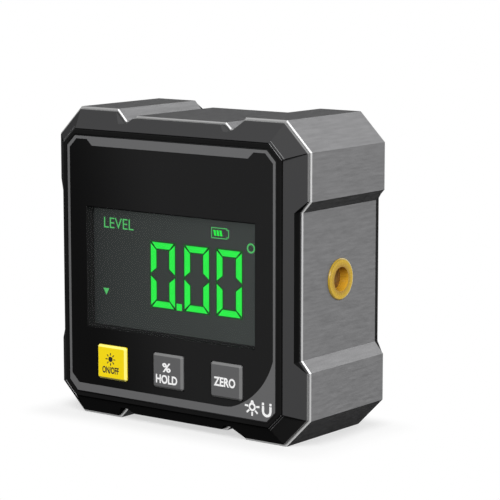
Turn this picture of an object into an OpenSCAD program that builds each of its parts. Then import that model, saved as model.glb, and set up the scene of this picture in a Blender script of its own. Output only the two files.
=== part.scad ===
// Digital angle gauge: a square metal ring frame that carries a moulded front
// with display and keys, and a moulded rear cover with a battery bay.
// X runs to the right, Y to the back and Z up. The origin is the middle of the
// footprint, on the ground.

/* [Overall] */
// Width of the box
box_w = 60; // [58:0.5:66]
// Height of the box
box_h = 60; // [58:0.5:66]
// Depth of the box, from the key faces to the rear face
box_d = 30; // [29:0.5:34]

/* [Frame outline] */
// Leg of the chamfer at each outer corner
corner_chamfer = 5.5; // [4.5:0.1:6.5]
// Depth of the recess in the middle of each side flank
side_recess_depth = 1.9; // [1.4:0.1:2.2]
// Half length of the side recess
side_recess_half = 13.5; // [12:0.5:14.5]
// Run of the slope from the side recess up to the lobe
side_slope_run = 2.1; // [1.5:0.1:2.6]
// Depth of the recess in the middle of the top and the base
top_recess_depth = 1.15; // [0.6:0.05:1.5]
// Half length of the top and base recess
top_recess_half = 10.7; // [9:0.1:11.5]
// Depth of the groove at each end of the top and base recess
groove_depth = 2.2; // [1.8:0.1:2.4]
// Run of the slope from the recess down into the groove
groove_fall_run = 1.2; // [0.8:0.1:1.6]
// Width of the groove's floor
groove_floor_w = 1.2; // [0.8:0.1:1.6]
// Run of the slope from the groove up to the lobe
groove_rise_run = 2.1; // [1.5:0.1:2.6]

/* [Frame] */
// Metal left behind the deepest part of the outline
frame_wall = 2.4; // [2:0.1:2.6]
// Leg of the solid post in each inner corner
post_leg = 9; // [8.5:0.1:9.5]
// Bright chamfer along the front and rear edges
edge_chamfer = 0.22; // [0.1:0.01:0.3]

/* [Front] */
// Height of the panel face in front of the frame
panel_rise = 3.75; // [3.6:0.05:4.2]
// How far the keys stand proud of the panel
key_proud = 0.55; // [0.45:0.05:0.8]
// Step from the frame's edge in to the mouldings
bezel_inset = 0.45; // [0.35:0.05:0.6]
// Straight foot of the bezel below its sloped flanks
flank_foot = 0.35; // [0.2:0.05:0.6]
// Height of the flanks' upper edge in front of the frame
flank_rise = 3.3; // [3:0.05:3.4]
// Distance from the box's sides in to the lip
lip_inset = 3.9; // [3.4:0.1:4.1]
// Leg of the lip's corner chamfer
lip_chamfer = 2.95; // [2.6:0.05:3.4]
// Width of the lip round the panel
lip_land = 1.05; // [0.9:0.05:1.5]
// Leg of the panel's corner chamfer
panel_chamfer = 2.1; // [1.8:0.05:2.4]
// Thickness of the panel
panel_t = 1.2; // [1:0.05:1.3]
// Thickness of the bezel's floor behind the panel
bezel_floor_t = 1.45; // [1.3:0.05:1.6]

/* [Display] */
// Distance from the panel's sides in to the window
window_side = 4.85; // [4.5:0.05:6]
// Width of the bezel's ledge that the lens sits on
window_ledge = 0.4; // [0.3:0.05:0.6]
// Distance from the panel's upper edge down to the display glass
lcd_drop = 11.6; // [8:0.1:13]
// Distance from the keys up to the display glass
lcd_lift = 1.1; // [1:0.05:2]
// Part of the display glass that the panel covers, above and below the window
lcd_cover = 2.025; // [1.5:0.025:2.5]
// Thickness of the display glass
lcd_t = 1.6; // [1.3:0.1:1.7]
// Plastic between the panel and the display glass
lcd_skin = 0.55; // [0.45:0.05:0.7]
// Thickness of the light plate
backlight_t = 2.1; // [1.8:0.1:2.4]
// Wall of the tray round the light plate
carrier_wall = 0.8; // [0.6:0.1:1]
// Back of the tray behind the light plate
carrier_back = 0.4; // [0.3:0.05:0.6]

/* [Keys] */
// Width of a key
key_w = 7.2; // [6.6:0.1:7.6]
// Height of a key
key_h = 6.6; // [6.2:0.1:6.7]
// Distance from the panel's sides in to the outer keys
key_side = 7.65; // [7:0.05:9]
// Distance from the panel's lower edge up to the keys
key_foot = 3.4; // [3:0.05:4]
// Bevel round a key's face
key_bevel = 0.4; // [0.25:0.05:0.5]
// Leg of the small chamfer at a key's corners
key_corner = 0.35; // [0.2:0.05:0.6]
// Travel of a key
key_travel = 0.3; // [0.2:0.05:0.35]
// Rim of the flange that keeps a key in
key_rim = 0.5; // [0.4:0.05:0.55]
// Thickness of that flange
key_rim_t = 0.6; // [0.5:0.05:0.7]

/* [Board and switches] */
// Thickness of the circuit board
board_t = 1.2; // [1:0.1:1.6]
// Side of a switch case
switch_w = 4.8; // [4.2:0.1:5.2]
// Height of a switch case
switch_h = 1.6; // [1.5:0.05:1.7]
// Radius of a switch plunger
plunger_r = 1.6; // [1.3:0.05:1.8]
// Height of a plunger above its case
plunger_proud = 0.4; // [0.35:0.05:0.5]
// Length of a plunger inside its case
plunger_inside = 0.6; // [0.5:0.05:0.7]

/* [Rear cover] */
// Height of the rear face behind the frame
rear_rise = 2; // [1.9:0.05:2.4]
// Straight foot of the rear cover below its sloped flanks
rear_foot = 0.3; // [0.2:0.05:0.5]
// Distance from the box's sides in to the rear face
rear_inset = 3.4; // [2.6:0.1:3.8]
// Leg of the rear face's corner chamfer
rear_chamfer = 3.5; // [3:0.1:3.9]
// Length of the collars that reach into the frame
spigot_l = 1.4; // [1.2:0.1:1.8]
// Wall of those collars
spigot_wall = 1; // [0.8:0.1:1.2]
// Wall and floor of the battery bay
bay_wall = 0.8; // [0.7:0.05:0.9]
// Thickness of the battery door
door_t = 1.5; // [1.45:0.05:1.6]
// Thickness of the tongues that guide the door
tongue_t = 0.6; // [0.5:0.05:0.7]
// Width of those tongues
tongue_w = 0.8; // [0.6:0.05:0.9]
// Margin of the door beyond the bay's mouth
door_margin = 1.3; // [1.1:0.1:1.4]

/* [Cells] */
// Radius of an AAA cell
cell_r = 5.25; // [5.1:0.05:5.25]
// Room between the bay and the frame's side wall, which leaves the length of an
// AAA cell
bay_side_room = 1.4; // [1.2:0.1:1.7]
// Radius of the positive nub
nub_r = 1.9; // [1.5:0.1:2.2]
// Length of the positive nub
nub_l = 1; // [0.8:0.1:1.3]
// Length of a fitted contact spring
spring_l = 3.3; // [3:0.1:3.6]
// Radius of the spring wire
spring_wire_r = 0.3; // [0.2:0.05:0.35]
// Turns of a contact spring
spring_turns = 3.25; // [2:0.25:4]

/* [Fasteners and magnets] */
// Metal between a long screw's bore and the inside of its corner post
screw_wall = 1.6; // [1.2:0.1:1.9]
// Radius of a long screw's shank
screw_r = 0.95; // [0.8:0.05:1.1]
// Radius of a long screw's head
screw_head_r = 1.8; // [1.6:0.05:1.9]
// Height of a long screw's head
screw_head_h = 1.1; // [0.9:0.05:1.2]
// Radius of a board screw's shank
board_screw_r = 0.75; // [0.6:0.05:0.8]
// Radius of a board screw's head
board_screw_head_r = 1.4; // [1.2:0.05:1.5]
// Height of a board screw's head
board_screw_head_h = 0.9; // [0.7:0.05:1]
// Radius of a base magnet
magnet_r = 3; // [2.5:0.1:3.4]
// Thickness of a base magnet
magnet_t = 2.4; // [1.5:0.1:2.8]
// Distance between the two magnets of a lobe
magnet_pitch = 12; // [9:0.5:14]

/* [Side port] */
// Outer radius of the bushing's collar
port_r = 3.9; // [3.6:0.1:4.4]
// Radius of the bushing's barrel in the frame wall
port_barrel_r = 3.3; // [3:0.1:3.5]
// Radius of the bushing's bore
port_bore_r = 2.3; // [2:0.1:2.5]
// How far the collar stands proud of the flank
port_proud = 0.3; // [0.2:0.05:0.5]
// Thickness of the lens at its rim
port_lens_t = 0.5; // [0.4:0.05:0.7]

/* [Hidden] */

// Steps of a full circle on ordinary round parts
$fn = 48;
// Overrun that lets a cut pass right through
over = 0.5;

// Clearances
panel_gap = 0.08;
lens_gap = 0.04;
slide_gap = 0.08;
seat_gap = 0.05;
board_gap = 0.3;
collar_gap = 0.1;
screw_gap = 0.15;
thread_gap = 0.05;
magnet_gap = 0.03;

// Half sizes and planes from front to back
half_w = box_w / 2;
half_h = box_h / 2;
key_face_y = -box_d / 2;
panel_y = key_face_y + key_proud;
front_y = panel_y + panel_rise;
back_y = box_d / 2 - rear_rise;
rear_y = box_d / 2;
mid_y = (front_y + back_y) / 2;
panel_back_y = panel_y + panel_t;
floor_back_y = panel_back_y + bezel_floor_t;
lcd_y = panel_back_y + lcd_skin;
lcd_back_y = lcd_y + lcd_t;
board_y = lcd_back_y + backlight_t + carrier_back;
board_back_y = board_y + board_t;

// Cavity of the frame
cavity_w = half_w - side_recess_depth - frame_wall;
cavity_h = half_h - groove_depth - frame_wall;
flank_x = half_w - side_recess_depth;

// Lip and panel, half sizes
lip_w = half_w - lip_inset;
lip_h = half_h - lip_inset;
panel_w = lip_w - lip_land;
panel_h = lip_h - lip_land;

// Long screws, in line with the corner posts
screw_in = post_leg / 2 - (screw_r + screw_gap + screw_wall) / sqrt(2);
screw_x = cavity_w - screw_in;
screw_z = cavity_h - screw_in;

// Bosses of the board, beside the display glass and clear of the posts
boss_r = 1.3;
boss_inset_x = 2.2;
boss_post_gap = 0.7;
boss_lcd_gap = 0.2;
boss_x = cavity_w - boss_inset_x;
boss_z = cavity_w + cavity_h - post_leg - boss_x - (boss_r + boss_post_gap) * sqrt(2);

// Keys from the panel's lower edge up, then the display above them
key_pitch = panel_w - key_side - key_w / 2;
key_z = half_h - panel_h + key_foot + key_h / 2;
lcd_w = 2 * (boss_x - boss_r - boss_lcd_gap);
lcd_h = 2 * panel_h - lcd_drop - lcd_lift - key_h - key_foot;
window_w = 2 * (panel_w - window_side);
window_h = lcd_h - 2 * lcd_cover;
window_z = key_z + key_h / 2 + lcd_lift + lcd_h / 2;

// ---- outlines, as seen from the front, with the box's middle at zero ----

function reversed(p) = [for (i = [len(p) - 1 : -1 : 0]) p[i]];
function four_fold(q) = concat(
    q,
    [for (p = reversed(q)) [-p[0], p[1]]],
    [for (p = q) [-p[0], -p[1]]],
    [for (p = reversed(q)) [p[0], -p[1]]]);
function octagon(w, h, c) = four_fold([[w, h - c], [w - c, h]]);

// Moves every edge of an outline inward by d and keeps the corners sharp
function left_of(a, b) = let (v = b - a, n = norm(v)) [-v[1] / n, v[0] / n];
function inset(p, d) = let (n = len(p)) [for (i = [0 : n - 1])
    let (u = left_of(p[(i + n - 1) % n], p[i]), v = left_of(p[i], p[(i + 1) % n]))
    p[i] + (u + v) * d / (1 + u * v)];

groove_in = top_recess_half + groove_fall_run;
groove_out = groove_in + groove_floor_w;
lobe_in = groove_out + groove_rise_run;
frame_outline = four_fold([
    [flank_x, side_recess_half],
    [half_w, side_recess_half + side_slope_run],
    [half_w, half_h - corner_chamfer],
    [half_w - corner_chamfer, half_h],
    [lobe_in, half_h],
    [groove_out, half_h - groove_depth],
    [groove_in, half_h - groove_depth],
    [top_recess_half, half_h - top_recess_depth]]);
cavity_outline = octagon(cavity_w, cavity_h, post_leg);
moulding_outline = inset(frame_outline, bezel_inset);
foot_outline = inset(octagon(half_w, half_h, corner_chamfer), bezel_inset);
lip_outline = octagon(lip_w, lip_h, lip_chamfer);
panel_outline = octagon(panel_w, panel_h, panel_chamfer);
rear_outline = octagon(half_w - rear_inset, half_h - rear_inset, rear_chamfer);
board_outline = inset(cavity_outline, board_gap);
collar_outline = inset(cavity_outline, collar_gap);

// ---- building blocks ----

module at_middle() { translate([0, 0, half_h]) children(); }

// A straight prism from y0 back to y1
module prism_y(outline, y0, y1) {
    translate([0, y1, 0]) rotate([90, 0, 0])
        linear_extrude(height = y1 - y0) polygon(outline);
}

// A body through several outlines, one at each depth, front to back
module loft_y(outlines, depths) {
    n = len(outlines[0]);
    last = (len(depths) - 1) * n;
    polyhedron(
        points = [for (k = [0 : len(depths) - 1]) for (p = outlines[k])
            [p[0], depths[k], p[1]]],
        faces = concat(
            [[for (i = [n - 1 : -1 : 0]) i]],
            [[for (i = [0 : n - 1]) last + i]],
            [for (k = [0 : len(depths) - 2]) for (i = [0 : n - 1])
                [k * n + i, k * n + (i + 1) % n,
                 (k + 1) * n + (i + 1) % n, (k + 1) * n + i]]));
}

// A block given by its middle sideways and upward, its size and its depths
module block_y(x, z, w, h, y0, y1) {
    translate([x - w / 2, y0, z - h / 2]) cube([w, y1 - y0, h]);
}

// A round rod along the depth
module rod_y(x, z, r, y0, y1) {
    translate([x, y0, z]) rotate([-90, 0, 0]) cylinder(r = r, h = y1 - y0);
}

// A round rod across the width
module rod_x(y, z, r, x0, x1) {
    translate([x0, y, z]) rotate([0, 90, 0]) cylinder(r = r, h = x1 - x0);
}

// Places its children at the four corners at the given offsets
module at_corners(dx, dz) {
    for (sx = [-1, 1], sz = [-1, 1])
        translate([sx * dx, 0, half_h + sz * dz]) children();
}

// ---- metal frame ----

magnet_x = (lobe_in + half_w - corner_chamfer) / 2;
magnet_recess = 0.1;
cutter_margin = 0.15;

module at_magnets() {
    for (sx = [-1, 1], sy = [-1, 1])
        translate([sx * magnet_x, mid_y + sy * magnet_pitch / 2, 0]) children();
}

// A closed ring of triangular section that cuts the chamfer along one edge of
// the outline; side is 1 at the front edge and -1 at the rear edge
module edge_cutter(edge_y, side) {
    n = len(frame_outline);
    far = edge_chamfer + cutter_margin;
    rings = [[far, -cutter_margin], [-cutter_margin, far], [-cutter_margin, -cutter_margin]];
    ring_faces = [for (k = [0 : len(rings) - 1]) for (i = [0 : n - 1])
        let (a = k * n, b = ((k + 1) % len(rings)) * n, j = (i + 1) % n)
        [b + i, b + j, a + j, a + i]];
    polyhedron(
        points = [for (g = rings) for (p = inset(frame_outline, g[0]))
            [p[0], edge_y + side * g[1], p[1]]],
        faces = side > 0 ? ring_faces : [for (f = ring_faces) reversed(f)]);
}

module frame() {
    color([0.50, 0.51, 0.52]) difference() {
        at_middle() prism_y(frame_outline, front_y, back_y);
        at_middle() edge_cutter(front_y, 1);
        at_middle() edge_cutter(back_y, -1);
        at_middle() prism_y(cavity_outline, front_y - over, back_y + over);
        at_corners(screw_x, screw_z)
            rod_y(0, 0, screw_r + screw_gap, front_y - over, back_y + over);
        at_magnets() translate([0, 0, -over])
            cylinder(r = magnet_r + magnet_gap, h = magnet_t + magnet_recess + over);
        rod_x(mid_y, half_h, port_barrel_r, cavity_w - over, flank_x + over);
    }
}

module base_magnets() {
    color([0.72, 0.73, 0.75]) at_magnets()
        translate([0, 0, magnet_recess]) cylinder(r = magnet_r, h = magnet_t);
}

// ---- front moulding ----

lip_step = 0.05;
lip_bevel = 0.15;
lip_groove_w = 0.12;
lip_groove_depth = 0.3;
lip_y = panel_y + lip_step;
flank_top_y = front_y - flank_rise;
key_hole_w = key_w + 2 * slide_gap;
key_hole_h = key_h + 2 * slide_gap;
keys_x = [-key_pitch, 0, key_pitch];

boss_bore_l = 2;
screw_bite = 2.1;

module front_bezel() {
    color([0.17, 0.17, 0.18]) difference() {
        union() {
            at_middle() {
                // sloped flanks that die out at the lobes
                intersection() {
                    prism_y(moulding_outline, flank_top_y, front_y);
                    loft_y([lip_outline, foot_outline, foot_outline],
                        [flank_top_y, front_y - flank_foot, front_y]);
                }
                // lip round the panel
                loft_y([inset(lip_outline, lip_groove_w + lip_bevel),
                        inset(lip_outline, lip_groove_w), inset(lip_outline, lip_groove_w)],
                    [lip_y, lip_y + lip_bevel, front_y]);
                // collar that reaches into the frame
                prism_y(collar_outline, floor_back_y, front_y + spigot_l);
            }
        }
        // fine shadow groove between flanks and lip
        at_middle() difference() {
            prism_y(lip_outline, flank_top_y - over, flank_top_y + lip_groove_depth);
            prism_y(inset(lip_outline, lip_groove_w),
                flank_top_y - 2 * over, flank_top_y + 2 * over);
        }
        // seat of the panel
        at_middle() prism_y(inset(panel_outline, -panel_gap), lip_y - over, panel_back_y);
        // hollow behind the floor
        at_middle() prism_y(inset(collar_outline, spigot_wall),
            floor_back_y, front_y + spigot_l + over);
        // window and the seat of the display glass
        block_y(0, window_z, window_w - 2 * window_ledge, window_h - 2 * window_ledge,
            panel_back_y - over, floor_back_y + over);
        block_y(0, window_z, lcd_w + 2 * seat_gap, lcd_h + 2 * seat_gap,
            lcd_y, floor_back_y + over);
        // key holes
        for (x = keys_x)
            block_y(x, key_z, key_hole_w, key_hole_h,
                panel_back_y - over, floor_back_y + over);
        // blind bores of the long screws
        at_corners(screw_x, screw_z)
            rod_y(0, 0, screw_r + thread_gap, front_y - screw_bite, front_y + over);
    }
    // bosses of the board
    color([0.17, 0.17, 0.18]) at_corners(boss_x, boss_z) difference() {
        rod_y(0, 0, boss_r, floor_back_y, board_y);
        rod_y(0, 0, board_screw_r + thread_gap, board_y - boss_bore_l, board_y + over);
    }
}

module front_panel() {
    color([0.07, 0.07, 0.08]) difference() {
        at_middle() prism_y(panel_outline, panel_y, panel_back_y);
        block_y(0, window_z, window_w, window_h, panel_y - over, panel_back_y + over);
        for (x = keys_x)
            block_y(x, key_z, key_hole_w, key_hole_h, panel_y - over, panel_back_y + over);
    }
}

module display_lens() {
    color([0.30, 0.32, 0.32, 0.35])
        block_y(0, window_z, window_w - 2 * lens_gap, window_h - 2 * lens_gap,
            panel_y, panel_back_y);
}

module lcd_glass() {
    color([0.24, 0.25, 0.25]) block_y(0, window_z, lcd_w, lcd_h, lcd_y, lcd_back_y);
}

light_gap = 0.1;
light_w = lcd_w - 2 * carrier_wall;
light_h = lcd_h - 2 * carrier_wall;

module backlight_plate() {
    color([0.80, 0.95, 0.85])
        block_y(0, window_z, light_w - 2 * light_gap, light_h - 2 * light_gap,
            lcd_back_y, lcd_back_y + backlight_t);
}

module lcd_carrier() {
    color([0.88, 0.88, 0.86]) difference() {
        block_y(0, window_z, lcd_w, lcd_h, lcd_back_y, board_y);
        block_y(0, window_z, light_w, light_h,
            lcd_back_y - over, lcd_back_y + backlight_t);
    }
}

// ---- keys and switches ----

rim_gap = 0.05;
rim_corner = 1.2;
stem_r = 1.5;
rim_y = floor_back_y + rim_gap;
rim_back_y = rim_y + key_rim_t;
switch_y = board_y - switch_h;
plunger_y = switch_y - plunger_proud;
switch_bore_depth = plunger_inside + key_travel + rim_gap;
switch_corner = 0.6;

module key_button(x, tint) {
    cap = octagon(key_w / 2, key_h / 2, key_corner);
    color(tint) {
        translate([x, 0, key_z])
            loft_y([inset(cap, key_bevel), cap, cap],
                [key_face_y, key_face_y + key_bevel, rim_y]);
        translate([x, 0, key_z])
            prism_y(octagon(key_w / 2 + key_rim, key_h / 2 + key_rim, rim_corner),
                rim_y, rim_back_y);
        rod_y(x, key_z, stem_r, rim_back_y, plunger_y);
    }
}

module tact_switch(x) {
    color([0.20, 0.20, 0.21]) difference() {
        translate([x, 0, key_z])
            prism_y(octagon(switch_w / 2, switch_w / 2, switch_corner), switch_y, board_y);
        rod_y(x, key_z, plunger_r + seat_gap, switch_y - over,
            switch_y + switch_bore_depth);
    }
}

module tact_plunger(x) {
    color([0.85, 0.84, 0.80])
        rod_y(x, key_z, plunger_r, plunger_y, switch_y + plunger_inside);
}

// ---- board and what it carries ----

chip_w = 9;
chip_t = 1.2;
chip_x = 9;
chip_rise = 8;
sensor_w = 5;
sensor_t = 1.1;
sensor_x = -10;
buzzer_r = 4.5;
buzzer_t = 3;
buzzer_hole_r = 0.8;
buzzer_side = 5;
buzzer_drop = 14;
chip_corner = 0.5;
hole_gap = 0.1;

module main_board() {
    color([0.05, 0.32, 0.16]) difference() {
        at_middle() prism_y(board_outline, board_y, board_back_y);
        at_corners(boss_x, boss_z)
            rod_y(0, 0, board_screw_r + hole_gap, board_y - over, board_back_y + over);
    }
}

module board_screws() {
    slot_w = board_screw_head_r / 3;
    color([0.70, 0.70, 0.72]) at_corners(boss_x, boss_z) {
        rod_y(0, 0, board_screw_r, board_y - boss_bore_l + thread_gap, board_back_y);
        difference() {
            rod_y(0, 0, board_screw_head_r, board_back_y,
                board_back_y + board_screw_head_h);
            block_y(0, 0, slot_w, 2 * board_screw_head_r - slot_w,
                board_back_y + board_screw_head_h / 2, board_back_y + board_screw_head_h + over);
            block_y(0, 0, 2 * board_screw_head_r - slot_w, slot_w,
                board_back_y + board_screw_head_h / 2, board_back_y + board_screw_head_h + over);
        }
    }
}

module chip(x, z, w, t) {
    translate([x, 0, z])
        prism_y(octagon(w / 2, w / 2, chip_corner), board_back_y, board_back_y + t);
}

module tilt_sensor() { color([0.12, 0.12, 0.13]) chip(sensor_x, half_h, sensor_w, sensor_t); }
module controller_chip() { color([0.12, 0.12, 0.13]) chip(chip_x, half_h + chip_rise, chip_w, chip_t); }

module buzzer() {
    buzzer_x = boss_x - buzzer_side - buzzer_r;
    buzzer_z = half_h - buzzer_drop;
    color([0.10, 0.10, 0.10]) difference() {
        rod_y(buzzer_x, buzzer_z, buzzer_r, board_back_y, board_back_y + buzzer_t);
        rod_y(buzzer_x, buzzer_z, buzzer_hole_r,
            board_back_y + buzzer_t / 2, board_back_y + buzzer_t + over);
    }
}

// ---- rear cover with the battery bay ----

cell_gap = 0.15;
plate_t = 0.4;
cell_dz = cell_r + cell_gap;
bay_half_w = cavity_w - bay_side_room;
cell_l = 2 * (bay_half_w - plate_t) - spring_l;
bay_half_h = cell_dz + cell_r + cell_gap;
door_under_y = rear_y - door_t;
cell_lid_gap = 0.35;
cell_y = door_under_y - cell_lid_gap - cell_r;
bay_floor_y = cell_y - cell_r;
door_half_h = bay_half_h + door_margin;
door_left = bay_half_w + door_margin / 4;
tail_w = 1.6;
tail_half = tail_w / 2;
plate_w = 8;
plate_h = 8;
counterbore_gap = 0.15;
head_y = rear_y - screw_head_h - counterbore_gap;

module rear_form(y0) {
    intersection() {
        prism_y(moulding_outline, y0, rear_y);
        loft_y([foot_outline, foot_outline, rear_outline],
            [back_y, back_y + rear_foot, rear_y]);
    }
}

// Space that the door and its tongues run in, open at the right flank
module door_channel(grow) {
    run = door_left + half_w + over;
    mid = (half_w + over - door_left) / 2;
    block_y(mid, half_h, run, 2 * (door_half_h + grow), door_under_y - grow, rear_y + over);
    block_y(mid, half_h, run, 2 * (door_half_h + tongue_w + grow),
        door_under_y - grow, door_under_y + tongue_t + grow);
}

module rear_cover() {
    color([0.13, 0.13, 0.14]) difference() {
        union() {
            at_middle() rear_form(back_y);
            at_middle() difference() {
                prism_y(collar_outline, back_y - spigot_l, back_y + rear_foot);
                prism_y(inset(collar_outline, spigot_wall), back_y - spigot_l - over, back_y);
            }
            block_y(0, half_h, 2 * (bay_half_w + bay_wall), 2 * (bay_half_h + bay_wall),
                bay_floor_y - bay_wall, back_y + rear_foot);
        }
        block_y(0, half_h, 2 * bay_half_w, 2 * bay_half_h, bay_floor_y, rear_y + over);
        door_channel(seat_gap);
        at_corners(screw_x, screw_z) {
            rod_y(0, 0, screw_r + screw_gap, back_y - spigot_l - over, rear_y + over);
            rod_y(0, 0, screw_head_r + counterbore_gap, head_y, rear_y + over);
        }
        // slots that the contact tails pass through
        for (z = [half_h - cell_dz, half_h + cell_dz])
            translate([-bay_half_w, bay_floor_y - bay_wall - over, z - tail_half - slide_gap])
                cube([plate_t + slide_gap, bay_wall + 2 * over, tail_w + 2 * slide_gap]);
    }
}

pad_depth = 0.5;
pad_w = 9;
pad_h = 12;
pad_margin = 3;
rib_w = 0.7;
rib_proud = 0.35;
rib_count = 5;

module battery_door() {
    pad_x = pad_margin + pad_w / 2 - door_left;
    color([0.13, 0.13, 0.14]) {
        difference() {
            intersection() {
                at_middle() rear_form(back_y);
                difference() {
                    door_channel(0);
                    block_y(-door_left, half_h, 2 * slide_gap, box_h,
                        door_under_y - over, rear_y + 2 * over);
                }
            }
            block_y(pad_x, half_h, pad_w, pad_h, rear_y - pad_depth, rear_y + over);
        }
        // grip ribs on the floor of the thumb pad
        for (i = [1 : rib_count])
            block_y(pad_x - pad_w / 2 + i * pad_w / (rib_count + 1), half_h, rib_w, pad_h,
                rear_y - pad_depth, rear_y - pad_depth + rib_proud);
    }
}

module rear_screws() {
    cross_w = screw_head_r / 3;
    cross_l = 2 * screw_head_r - 2 * cross_w;
    color([0.25, 0.25, 0.26]) at_corners(screw_x, screw_z) {
        rod_y(0, 0, screw_r, front_y - screw_bite + thread_gap, head_y);
        difference() {
            rod_y(0, 0, screw_head_r, head_y, head_y + screw_head_h);
            block_y(0, 0, cross_w, cross_l,
                head_y + screw_head_h / 2, head_y + screw_head_h + over);
            block_y(0, 0, cross_l, cross_w,
                head_y + screw_head_h / 2, head_y + screw_head_h + over);
        }
    }
}

// ---- cells and their contacts ----

// side is 1 where the nub points to the right and -1 where it points left
module cell(side, z, tint) {
    color(tint) translate([0, cell_y, z]) rotate([0, side * 90, 0]) {
        translate([0, 0, spring_l - cell_l / 2 - spring_l / 2])
            cylinder(r = cell_r, h = cell_l - nub_l);
        translate([0, 0, cell_l / 2 + spring_l / 2 - nub_l])
            cylinder(r = nub_r, h = nub_l);
    }
}

module battery_upper() { cell(1, half_h + cell_dz, [0.20, 0.45, 0.75]); }
module battery_lower() { cell(-1, half_h - cell_dz, [0.20, 0.45, 0.75]); }

module contact_plate(x0, z, h) {
    translate([x0, cell_y - plate_w / 2, z - h / 2]) cube([plate_t, plate_w, h]);
}

module contact_bridge() {
    color([0.85, 0.80, 0.62])
        contact_plate(bay_half_w - plate_t, half_h, plate_h + 2 * cell_dz);
}

module tailed_plate(z) {
    color([0.85, 0.80, 0.62]) {
        contact_plate(-bay_half_w, z, plate_h);
        translate([-bay_half_w, board_back_y, z - tail_half])
            cube([plate_t, cell_y - board_back_y, tail_w]);
    }
}

module contact_negative() { tailed_plate(half_h + cell_dz); }
module contact_positive() { tailed_plate(half_h - cell_dz); }

spring_wide_r = 3;
spring_tip_r = 2;
wire_sides = 8;
turn_steps = 16;

// Conical coil of round wire along Z, wide end at zero
module coil(wide_r, tip_r, wire, height, turns) {
    steps = round(turns * turn_steps);
    last = steps * wire_sides;
    points = [for (s = [0 : steps]) for (k = [0 : wire_sides - 1])
        let (t = s / steps, a = 360 * turns * t, b = 360 * k / wire_sides,
            r = wide_r + (tip_r - wide_r) * t + wire * cos(b),
            z = wire + (height - 2 * wire) * t + wire * sin(b))
        [r * cos(a), r * sin(a), z]];
    polyhedron(points = points, faces = concat(
        [[for (k = [0 : wire_sides - 1]) k]],
        [[for (k = [wire_sides - 1 : -1 : 0]) last + k]],
        [for (s = [0 : steps - 1]) for (k = [0 : wire_sides - 1])
            let (a = s * wire_sides + k, b = s * wire_sides + (k + 1) % wire_sides)
            [a, a + wire_sides, b + wire_sides, b]]));
}

module contact_spring(side, z) {
    color([0.80, 0.80, 0.82])
        translate([-side * (bay_half_w - plate_t), cell_y, z]) rotate([0, side * 90, 0])
            coil(spring_wide_r, spring_tip_r, spring_wire_r, spring_l, spring_turns);
}

module spring_upper() { contact_spring(1, half_h + cell_dz); }
module spring_lower() { contact_spring(-1, half_h - cell_dz); }

// ---- port in the right flank ----

collar_bevel = 0.15;
port_back_wall = 0.3;
emitter_r = 1.4;
emitter_gap = 0.1;
emitter_proud = 0.2;
lens_gap_r = 0.02;
dome = 0.35;
crown_steps = 5;
lens_x = cavity_w + port_back_wall;

module side_port_ring() {
    color([0.90, 0.66, 0.10]) difference() {
        union() {
            rod_x(mid_y, half_h, port_barrel_r, cavity_w, flank_x + port_proud);
            rod_x(mid_y, half_h, port_r, flank_x, flank_x + port_proud - collar_bevel);
            translate([flank_x + port_proud - collar_bevel, mid_y, half_h])
                rotate([0, 90, 0])
                cylinder(r1 = port_r, r2 = port_r - collar_bevel, h = collar_bevel);
        }
        rod_x(mid_y, half_h, port_bore_r, lens_x, flank_x + port_proud + over);
        rod_x(mid_y, half_h, emitter_r + emitter_gap, cavity_w - over, lens_x + over);
    }
}

module side_port_lens() {
    rim_r = port_bore_r - lens_gap_r;
    // crown of the lens, a circular arc turned about its axis
    ball_r = (rim_r * rim_r + dome * dome) / (2 * dome);
    sweep = asin(rim_r / ball_r);
    color([0.70, 0.42, 0.10]) translate([lens_x, mid_y, half_h]) rotate([0, 90, 0])
        rotate_extrude() polygon(concat(
            [[0, 0], [rim_r, 0]],
            [for (i = [0 : crown_steps]) let (a = sweep * (1 - i / crown_steps))
                [ball_r * sin(a), port_lens_t + dome - ball_r + ball_r * cos(a)]]));
}

module port_emitter() {
    color([0.95, 0.85, 0.55])
        rod_x(mid_y, half_h, emitter_r, cavity_w - emitter_proud, lens_x);
}

// ---- the gauge ----

yellow = [0.97, 0.82, 0.10];
grey = [0.42, 0.42, 0.43];

frame();
front_bezel();
front_panel();
display_lens();
lcd_glass();
lcd_carrier();
backlight_plate();
main_board();
tilt_sensor();
controller_chip();
buzzer();
board_screws();
tact_switch(-key_pitch);  // power_switch
tact_switch(0);  // hold_switch
tact_switch(key_pitch);  // zero_switch
tact_plunger(-key_pitch);  // power_plunger
tact_plunger(0);  // hold_plunger
tact_plunger(key_pitch);  // zero_plunger
key_button(-key_pitch, yellow);  // power_button
key_button(0, grey);  // hold_button
key_button(key_pitch, grey);  // zero_button
rear_cover();
battery_door();
battery_upper();
battery_lower();
contact_bridge();
contact_negative();
contact_positive();
spring_upper();
spring_lower();
rear_screws();
base_magnets();
side_port_ring();
side_port_lens();
port_emitter();
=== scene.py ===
# %% [markdown]
# Digital angle gauge: a brushed aluminium ring frame with a black moulded
# front and rear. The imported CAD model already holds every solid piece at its
# real size. This lesson dresses it: it gives each piece its finish, lays the
# printed marks and the lit display on it, and sets up the camera and lamps.

import math

import bmesh
import bpy
from mathutils import Matrix, Vector


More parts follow.
